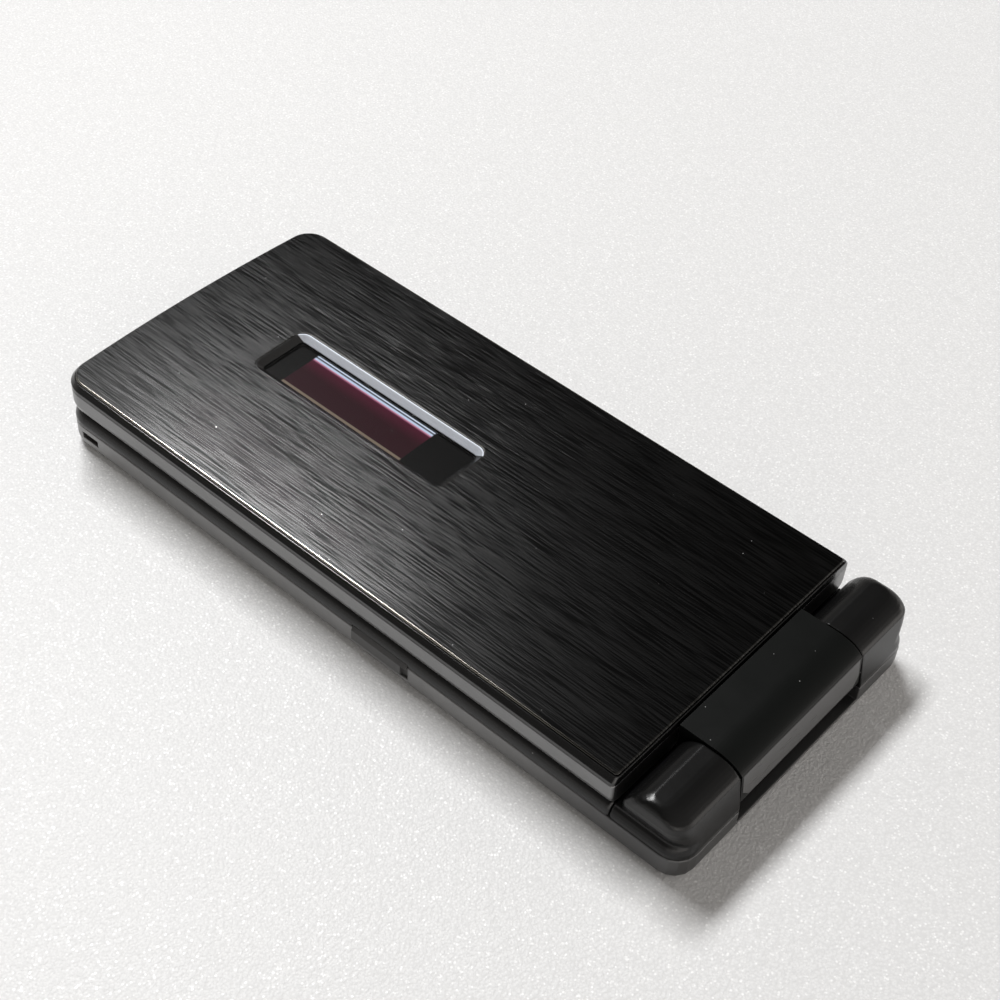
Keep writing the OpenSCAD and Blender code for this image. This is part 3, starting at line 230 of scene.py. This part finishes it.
sky = bpy.data.worlds.new("sky")
sky.use_nodes = True
scene.world = sky
direction = Wire(sky.node_tree).node("ShaderNodeTexCoord", {}, {}, "Generated")
low = direction.axis("Z").step(0.40, 0.12)
hinge_side = direction.axis("Y").step(-0.2, 0.7)
near_floor = low * (sky_low + hinge_side * sky_low_hinge_side)
level = sky_above + hinge_side * sky_hinge_side + near_floor
background = sky.node_tree.nodes["Background"]
background.inputs["Color"].default_value = sky_colour
sky.node_tree.links.new(level.socket, background.inputs["Strength"])


# ---- Lower case, battery cover and side keys ----
# The tray that the lower half is built in, its sliding battery cover and the keys in its side. They
# are moulded in one plastic and painted a metallic grey with a satin lacquer. Towards the hinge
# the grey is painted darker, as painted shade.
def dress(material, *names):
    for name in names:
        for material_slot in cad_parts[name].material_slots:
            material_slot.material = material


def soft_edges(place, radius):
    """Normal that rounds a moulded edge, and the steps of a curved face, by radius millimetres."""
    return place.node("ShaderNodeBevel", {"samples": 6}, {"Radius": radius / mm_per_metre})


def dust(place):
    """Mask of a few specks of dust."""
    return place.cells(0.55).step(0.05, 0.03) * place.noise(0.3, 1.0).step(0.55, 0.62)


charcoal, place = start_finish("charcoal_lacquer")
flake = place.noise(22.0, 1.0)
grain = place.noise(5.0, 3.0, 0.6)
wear = place.noise(0.35, 3.0)
# Painted shade: the grey is painted darker towards the hinge end.
painted_hinge_shade = place.axis("Y").step(20, 52)
charcoal_and_hinge_shade = painted_hinge_shade.blend(wear.blend(grey(0.25), grey(0.31, 0.01)), grey(0.12))
set_finish(charcoal, {
    "Base Color": charcoal_and_hinge_shade,
    "Metallic": 0.96,
    "Roughness": 0.36 + wear * 0.08 + flake * 0.04,
    "Normal": (grain * 0.7 + flake * 0.3).bump(0.004, soft_edges(place, 0.3)),
})
dress(charcoal, "base_lower_case", "battery_cover", "side_key_front", "side_key_rear")


# ---- Upper case of the lower half ----
# The frame that holds the keys. Its shoulder slopes up to the keys' face all round, and it is
# painted gloss black like the hinge shoulders.
gloss, place = start_finish("gloss_black")
peel = place.noise(0.9, 2.0)
haze = place.noise(0.22, 4.0, 0.6)
specks = dust(place)
set_finish(gloss, {
    "Base Color": specks.blend(grey(0.004), grey(0.25)),
    "Roughness": 0.14 + haze * 0.10 + specks * 0.4,
    "Specular IOR Level": 0.5,
    "Normal": peel.bump(0.006, soft_edges(place, 0.5)),
})
dress(gloss, "base_upper_case")


# ---- Hinge shoulders ----
# Two hollow covers in gloss black over the lugs of the lower half. Their corners are rounded, and
# handling leaves a faint haze on them.
shoulder_paint, place = start_finish("shoulder_gloss")
peel = place.noise(0.7, 2.0)
haze = place.noise(0.3, 4.0, 0.6)
specks = dust(place)
set_finish(shoulder_paint, {
    "Base Color": specks.blend(grey(0.004), grey(0.3)),
    "Roughness": 0.20 + haze * 0.08 + specks * 0.4,
    "Specular IOR Level": 0.30,
    "Normal": peel.bump(0.004, soft_edges(place, 0.35)),
})
dress(shoulder_paint, "hinge_shoulders")


# ---- Hinge barrel and its end strip ----
# The barrel is part of the upper half and turns between the shoulders. It is moulded in satin
# black, and a smoother flat strip is let into its end face. The strip is painted a lighter grey
# than the barrel, as a painted reflection of the pale floor.
satin, place = start_finish("satin_barrel")
grain = place.noise(9.0, 2.0, 0.6)
cast = place.noise(0.25, 3.0)
specks = dust(place)
set_finish(satin, {
    "Base Color": specks.blend((0.0040, 0.0046, 0.0043, 1), grey(0.3)),
    "Roughness": 0.26 + cast * 0.08,
    "Specular IOR Level": 0.15,
    "Normal": grain.bump(0.005, soft_edges(place, 0.12)),
})
dress(satin, "hinge_barrel")

# Painted reflection: the strip's grey is lighter than the barrel's black.
strip, place = start_finish("strip_black")
smear = place.stretch(0.3, 3.0, 3.0).noise(1.0, 3.0)
set_finish(strip, {
    "Base Color": smear.blend(grey(0.050), grey(0.062)),
    "Roughness": 0.24 + smear * 0.10,
    "Specular IOR Level": 0.7,
    "Normal": place.noise(7.0).bump(0.003, soft_edges(place, 0.1)),
})
dress(strip, "hinge_end_plate")


# ---- Hinge unit and bush ----
# The click unit is a drawn steel can with a turned shaft whose end is square. The bush on the other
# side is turned in bearing metal, and the flexible circuit passes through it.
def turned_metal(name, colour, rough):
    material, place = start_finish(name)
    rings = place.stretch(9.0, 0.4, 0.4).noise(1.0, 3.0, 0.6)
    stain = place.noise(0.5, 3.0)
    shaded = tuple(0.8 * part for part in colour[:3]) + (1,)
    set_finish(material, {
        "Base Color": stain.blend(colour, shaded),
        "Metallic": 1.0,
        "Roughness": rough + rings * 0.15,
        "Normal": rings.bump(0.006, soft_edges(place, 0.1)),
    })
    return material


dress(turned_metal("drawn_steel", (0.52, 0.53, 0.55, 1), 0.25), "hinge_cam_unit", "hinge_key_shaft")
dress(turned_metal("bearing_metal", (0.55, 0.48, 0.36, 1), 0.22), "hinge_bush")


# ---- Inner case of the upper half ----
# The tray round the main display. Its side is the grey band under the bright lip, in the same
# metallic lacquer as the lower case, but smoother.
inner_lacquer, place = start_finish("inner_case_lacquer")
flake = place.noise(24.0, 1.0)
wear = place.noise(0.3, 3.0)
set_finish(inner_lacquer, {
    "Base Color": wear.blend(grey(0.20), grey(0.24)),
    "Metallic": 0.96,
    "Roughness": 0.25 + wear * 0.08 + flake * 0.03,
    "Normal": flake.bump(0.002, soft_edges(place, 0.25)),
})
dress(inner_lacquer, "lid_inner_case")


# ---- Outer case of the upper half ----
# The gloss black rim round the brushed plate: an upright lip over the seam and a bevel up to the
# plate's edge.
rim_paint, place = start_finish("rim_gloss")
peel = place.noise(0.8, 2.0)
haze = place.noise(0.4, 3.0)
set_finish(rim_paint, {
    "Base Color": haze.blend(grey(0.004), grey(0.006)),
    "Roughness": 0.11 + haze * 0.08,
    "Specular IOR Level": 0.6,
    "Normal": peel.bump(0.004, soft_edges(place, 0.15)),
})
dress(rim_paint, "lid_outer_case")


# ---- Brushed plate ----
# Pressed aluminium, brushed lengthways, anodised black and cut along its edge. Under the
# anodising the hairlines stay silver where the brush went deep. The cut edge is dull, but along
# the long sides, fading out towards the hinge, it is painted bright, as a painted highlight.
edge_radius = 0.16
edge_from, edge_full = 22.9, 23.3
edge_dark_y, edge_bright_y = 46, 15
dull_edge = 0.08

brushed, place = start_finish("brushed_plate")
streaks = place.stretch(4.4, 0.10, 1.0).noise(1.0, 0.0, 0.5)
fine_streaks = place.stretch(8.0, 0.22, 1.0).noise(1.0, 0.0, 0.5)
patches = place.stretch(0.35, 0.12, 1.0).noise(1.0, 2.0, 0.5)
specks = dust(place)
rounded = soft_edges(place, edge_radius)
flat_normal = place.node("ShaderNodeNewGeometry", {}, {}, "Normal")
away_from_hinge = place.axis("Y").step(edge_dark_y, edge_bright_y)
# Painted highlight: the cut edge is painted bright along the long sides, fading towards the hinge.
painted_edge_highlight = abs(place.axis("X")).step(edge_from, edge_full) * away_from_hinge
turned = rounded.dot(flat_normal).step(0.9998, 0.9975)
cut_edge_and_highlight = turned * (dull_edge + painted_edge_highlight * (1 - dull_edge))
brushing = (streaks * 0.5 + fine_streaks * 0.5).step(0.36, 0.66)
plate_black = brushing.blend(grey(0.0105), grey(0.034))
plate_dusty = specks.blend(plate_black, grey(0.4))
set_finish(brushed, {
    "Base Color": cut_edge_and_highlight.blend(plate_dusty, (0.42, 0.40, 0.35, 1)),
    "Metallic": 1.0 - specks * 0.9,
    "Roughness": 0.18 + patches * 0.03,
    "Normal": ((1 - cut_edge_and_highlight) * brushing).bump(0.005, rounded),
})
dress(brushed, "lid_plate")


# ---- Outer display ----
# A frame slopes down to a clear pane, silvered on that slope. The top of the lip at the socket side
# is painted silver too, as a painted highlight.
# Under the pane lies a narrow panel with a light guide along one side: two pale strips, a pink
# edge and a dark maroon field, then a beige strip. The panel gives off a faint painted glow in its
# own colours, and its field is painted brighter towards the strips.
lip_x, lip_z = 4.38, 11.58
slope_x = -4.8
silver_blue = (0.47, 0.50, 0.55, 1)
silver_bright = (0.53, 0.56, 0.61, 1)

polished, place = start_finish("polished_frame")
wipe = place.stretch(2.0, 0.5, 2.0).noise(1.0, 3.0)
on_lip = place.axis("X").step(lip_x, lip_x + 0.10)
# Painted highlight: the top of the lip at the socket side is painted silver.
lit_lip = on_lip * place.axis("Z").step(lip_z, lip_z + 0.08)
slope = place.axis("X").step(slope_x, slope_x - 0.15)
silver_and_lip_highlight = slope + lit_lip * (1 - slope)
set_finish(polished, {
    "Base Color": silver_and_lip_highlight.blend(grey(0.010), wipe.blend(silver_blue, silver_bright)),
    "Metallic": silver_and_lip_highlight * 0.45,
    "Roughness": 0.14 + silver_and_lip_highlight * 0.26 + wipe * 0.06,
    "Normal": wipe.bump(0.002, soft_edges(place, 0.10)),
})
dress(polished, "window_bezel")

clear_pane, place = start_finish("clear_pane")
scratch = place.stretch(3.0, 0.25, 1.0).noise(1.0, 5.0, 0.7).step(0.68, 0.73)
set_finish(clear_pane, {
    "Base Color": scratch.blend(grey(0.02), grey(0.8)),
    "Roughness": 0.03 + scratch * 0.2,
    "Alpha": 0.10 + scratch * 0.04,
})
dress(clear_pane, "subdisplay_window", "camera_window")

field_far, field_near, field_blur = -33.2, -10.2, 0.1
strip_x, guide_x = -4.05, -4.55
painted_glow_end_x, beige_x = -0.8, 2.25
panel, place = start_finish("outer_display_panel")
across = place.axis("X")
along = place.axis("Y")
past_far = along.step(field_far - field_blur, field_far + field_blur)
in_field = past_far * along.step(field_near + field_blur, field_near - field_blur)
# Painted glow: the field is painted brighter towards the strips.
painted_glow = across.step(painted_glow_end_x, strip_x)
field = painted_glow.blend((0.026, 0.0060, 0.010, 1), (0.075, 0.010, 0.026, 1))
edge_line = across.step(strip_x + 0.65, strip_x + 0.25)
pink = edge_line.blend(field, (0.62, 0.24, 0.38, 1))
first_strip = across.step(strip_x + 0.28, strip_x + 0.20)
pale = first_strip.blend(pink, (0.58, 0.68, 0.86, 1))
gap_line = across.step(strip_x - 0.10, strip_x - 0.18)
gapped = gap_line.blend(pale, (0.06, 0.07, 0.10, 1))
second_strip = across.step(guide_x + 0.14, guide_x + 0.06)
guided = second_strip.blend(gapped, (0.66, 0.75, 0.90, 1))
beige_strip = across.step(beige_x, beige_x + 0.10)
sided = beige_strip.blend(guided, (0.20, 0.16, 0.12, 1))
panel_colour = in_field.blend(grey(0.004), sided)
panel_noise = place.noise(3.0)
set_finish(panel, {
    "Base Color": panel_colour,
    "Roughness": 0.14 + panel_noise * 0.06,
    "Specular IOR Level": 0.12,
    # Painted glow: the panel gives off its own colours faintly, though it is no lamp.
    "Emission Color": panel_colour,
    "Emission Strength": 0.22,
})
dress(panel, "subdisplay_panel")


# ---- Main display ----
# The display module behind the clear pane of the inner face. It is switched off, and the pane is
# printed black round the picture.
display_y = -5.2
picture_half_w, picture_half_l = 19.0, 31.5
print_blur = 0.1

pane_black, place = start_finish("main_pane")
across = abs(place.axis("X"))
along = abs(place.axis("Y") - display_y)
beside = across.step(picture_half_w, picture_half_w + print_blur)
beyond = along.step(picture_half_l, picture_half_l + print_blur)
printed = 1 - (1 - beside) * (1 - beyond)
smudge = place.noise(0.15, 4.0, 0.6)
set_finish(pane_black, {
    "Base Color": printed.blend(grey(0.02), grey(0.006)),
    "Roughness": 0.04 + smudge * 0.10,
    "Alpha": 0.35 + printed * 0.65,
})
dress(pane_black, "main_display_window")

picture, place = start_finish("dark_picture")
cells = place.cells(6.0)
set_finish(picture, {
    "Base Color": cells.blend((0.010, 0.012, 0.020, 1), (0.016, 0.018, 0.026, 1)),
    "Roughness": 0.14 + cells * 0.05,
})
dress(picture, "main_display")


# ---- Earpiece, loudspeaker, microphone and camera module ----
# Small capsules moulded in black. The earpiece sits behind a slotted steel cover at the far end of
# the inner face.
def moulded(name, colour, rough, grain_depth):
    material, place = start_finish(name)
    grain = place.noise(6.0, 3.0, 0.6)
    tone = place.noise(0.6, 3.0)
    light = tuple(min(1.0, 1.35 * part) for part in colour[:3]) + (1,)
    set_finish(material, {
        "Base Color": tone.blend(colour, light),
        "Roughness": rough + tone * 0.10,
        "Normal": grain.bump(grain_depth, soft_edges(place, 0.12)),
    })
    return material


dress(moulded("capsule_black", grey(0.04), 0.45, 0.006),
      "earpiece", "loudspeaker", "camera_module", "microphone")
dress(turned_metal("grille_steel", (0.28, 0.28, 0.30, 1), 0.30), "earpiece_grille")


# ---- Rubber pieces ----
# Four soft stops that keep the halves apart, a cap over each lid screw, and the two soft covers of
# the socket and the dock connector. The socket's is smoother and a dark grey.
dress(moulded("black_rubber", grey(0.018), 0.55, 0.010),
      "lid_bumpers", "lid_screw_caps", "dock_cover")
dress(moulded("cover_grey", grey(0.050), 0.30, 0.006), "side_socket_cover")


# ---- Screws and steel pieces ----
# Small cross-head screws, the shield can, the folded shells of the two sockets and the switches
# behind the side keys.
dress(turned_metal("bright_steel", (0.58, 0.59, 0.61, 1), 0.28),
      "lid_screws", "case_screws", "shield_can", "side_socket", "dock_connector", "side_switches")


# ---- Boards and dome sheet ----
# Printed boards in green mask with their tracks under it, and the clear film that holds the metal
# domes under the keys.
board, place = start_finish("board_green")
tracks = place.stretch(1, 1, 0).cells(1.4).step(0.25, 0.30)
set_finish(board, {
    "Base Color": tracks.blend((0.020, 0.13, 0.055, 1), (0.035, 0.19, 0.08, 1)),
    "Roughness": 0.35 + tracks * 0.1,
    "Normal": tracks.bump(0.02),
})
dress(board, "lid_board", "main_board")
dress(moulded("dome_film", (0.62, 0.62, 0.57, 1), 0.30, 0.004), "dome_sheet")


# ---- Battery, its contacts and the antenna ----
# A flat cell in printed film that drops in the well from below, three gold springs that press on
# it, and the plated antenna on its open carrier.
dress(moulded("battery_film", (0.06, 0.09, 0.13, 1), 0.35, 0.004), "battery")
dress(turned_metal("gold_plate", (0.72, 0.54, 0.22, 1), 0.20), "battery_contacts", "antenna")


# ---- Keys ----
# Each key is moulded in smoke black with a rounded edge, and its sign is printed on top: white
# numbers, letters and words, a green handset on the call key and a red one on the end key.
key_top = 6.3
number_rows = (3.4, -6.2, -15.8, -25.4)
function_row = 13.8
column = 15.2
print_height = 0.03
number_size, letters_size, clear_size, word_size = 4.6, 2.0, 3.2, 1.7
number_left, letters_right = 2.6, 2.7

key_black, place = start_finish("key_black")
tone = place.noise(0.5, 3.0)
set_finish(key_black, {
    "Base Color": tone.blend(grey(0.020), grey(0.030)),
    "Roughness": 0.24 + tone * 0.10,
    "Normal": place.noise(8.0).bump(0.003, soft_edges(place, 0.2)),
})
number_keys = [
    ("key_1", "1"), ("key_2", "2"), ("key_3", "3"),
    ("key_4", "4"), ("key_5", "5"), ("key_6", "6"),
    ("key_7", "7"), ("key_8", "8"), ("key_9", "9"),
    ("key_star", "*"), ("key_0", "0"), ("key_hash", "#"),
]
letters = {"key_2": "ABC", "key_3": "DEF", "key_4": "GHI", "key_5": "JKL", "key_6": "MNO",
           "key_7": "PQRS", "key_8": "TUV", "key_9": "WXYZ"}

print_white, place = start_finish("print_white")
worn = place.noise(2.0, 3.0)
set_finish(print_white, {
    "Base Color": worn.blend(grey(0.62), grey(0.75)),
    "Roughness": 0.40 + worn * 0.10,
})


def printed_sign(name, text, x, y, size, body):
    """Raised print on a key's top, millimetres, riding on that key."""
    font = bpy.data.curves.new(name, "FONT")
    font.body = text
    font.size = size / mm_per_metre
    font.extrude = print_height / 2 / mm_per_metre
    font.align_x = "CENTER"
    font.align_y = "CENTER"
    font.resolution_u = 4
    font.materials.append(print_white)
    sign = bpy.data.objects.new(name, font)
    sign.location = (
        x / mm_per_metre, y / mm_per_metre, (key_top + print_height / 2) / mm_per_metre
    )
    scene.collection.objects.link(sign)
    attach(sign, body)


for index, (name, digit) in enumerate(number_keys):
    dress(key_black, name)
    x = (index % 3 - 1) * column
    y = number_rows[index // 3]
    if name in letters:
        printed_sign(name + "_number", digit, x - number_left, y, number_size, name)
        printed_sign(name + "_letters", letters[name], x + letters_right, y, letters_size, name)
    else:
        printed_sign(name + "_number", digit, x, y, number_size, name)
dress(key_black, "clear_key", "call_key", "end_key", "soft_key_left", "soft_key_right")
printed_sign("clear_sign", "C", 0, function_row, clear_size, "clear_key")
for name, word in (("soft_key_left", "MENU"), ("soft_key_right", "BOOK")):
    lowest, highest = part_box(name)
    middle = (lowest + highest) / 2 * mm_per_metre
    printed_sign(name + "_word", word, middle.x, middle.y, word_size, name)

handset_r = 1.5
handset_back = 0.10
handle_depth, end_depth = 0.32, 0.92
handset_half_angle = 62
handset_drop = 1.1
handset_steps = 14


def printed_handset(name, body, turn, colour):
    """Raised print of a handset, its two ends thicker than its handle, riding on that key."""
    ink, place = start_finish(name + "_ink")
    worn = place.noise(2.0, 3.0)
    darker = tuple(0.75 * part for part in colour) + (1,)
    set_finish(ink, {
        "Base Color": worn.blend(colour + (1,), darker),
        "Roughness": 0.40 + worn * 0.10,
    })
    back, front = [], []
    for i in range(handset_steps + 1):
        t = 2 * i / handset_steps - 1
        depth = handle_depth + (end_depth - handle_depth) * abs(t) ** 5
        lean = radians(90 - handset_half_angle * t + turn)
        back_r, front_r = handset_r + handset_back, handset_r - depth
        back.append((cos(lean) * back_r, sin(lean) * back_r))
        front.append((cos(lean) * front_r, sin(lean) * front_r))
    outline = back + front[::-1]
    count = len(outline)
    lowest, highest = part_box(body)
    middle = (lowest + highest) / 2 * mm_per_metre
    up = radians(90 + turn)
    drop = Vector((cos(up), sin(up))) * handset_drop
    points = [
        (
            (middle.x + x - drop.x) / mm_per_metre,
            (middle.y + y - drop.y) / mm_per_metre,
            (key_top + z) / mm_per_metre,
        )
        for z in (0, print_height)
        for x, y in outline
    ]
    strips = [(i, i + 1, count - 2 - i, count - 1 - i) for i in range(handset_steps)]
    top = [tuple(v + count for v in face[::-1]) for face in strips]
    sides = [(i + count, (i + 1) % count + count, (i + 1) % count, i) for i in range(count)]
    mesh = bpy.data.meshes.new(name)
    mesh.from_pydata(points, [], strips + top + sides)
    mesh.materials.append(ink)
    sign = bpy.data.objects.new(name, mesh)
    scene.collection.objects.link(sign)
    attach(sign, body)


printed_handset("call_sign", "call_key", 35, (0.05, 0.42, 0.12))
printed_handset("end_sign", "end_key", 0, (0.55, 0.05, 0.04))


# ---- Navigation ring and centre key ----
# Spun aluminium: the ring tips on its four domes, and the centre key stands in it.
nav_centre = (0, 30.4, key_top)
ring_radians_per_mm = 42.0

spun, place = start_finish("spun_aluminium")
offset = place.node("ShaderNodeVectorMath", {"operation": "SUBTRACT"}, {0: place, 1: nav_centre})
from_centre = offset.node("ShaderNodeVectorMath", {"operation": "LENGTH"}, {0: offset}, "Value")
rings = from_centre.math("SINE", from_centre * ring_radians_per_mm) * 0.5 + 0.5
set_finish(spun, {
    "Base Color": rings.blend(grey(0.20), grey(0.27)),
    "Metallic": 0.95,
    "Roughness": 0.28 + rings * 0.08,
    "Normal": rings.bump(0.003, soft_edges(place, 0.15)),
})
dress(spun, "nav_ring", "nav_centre_key")
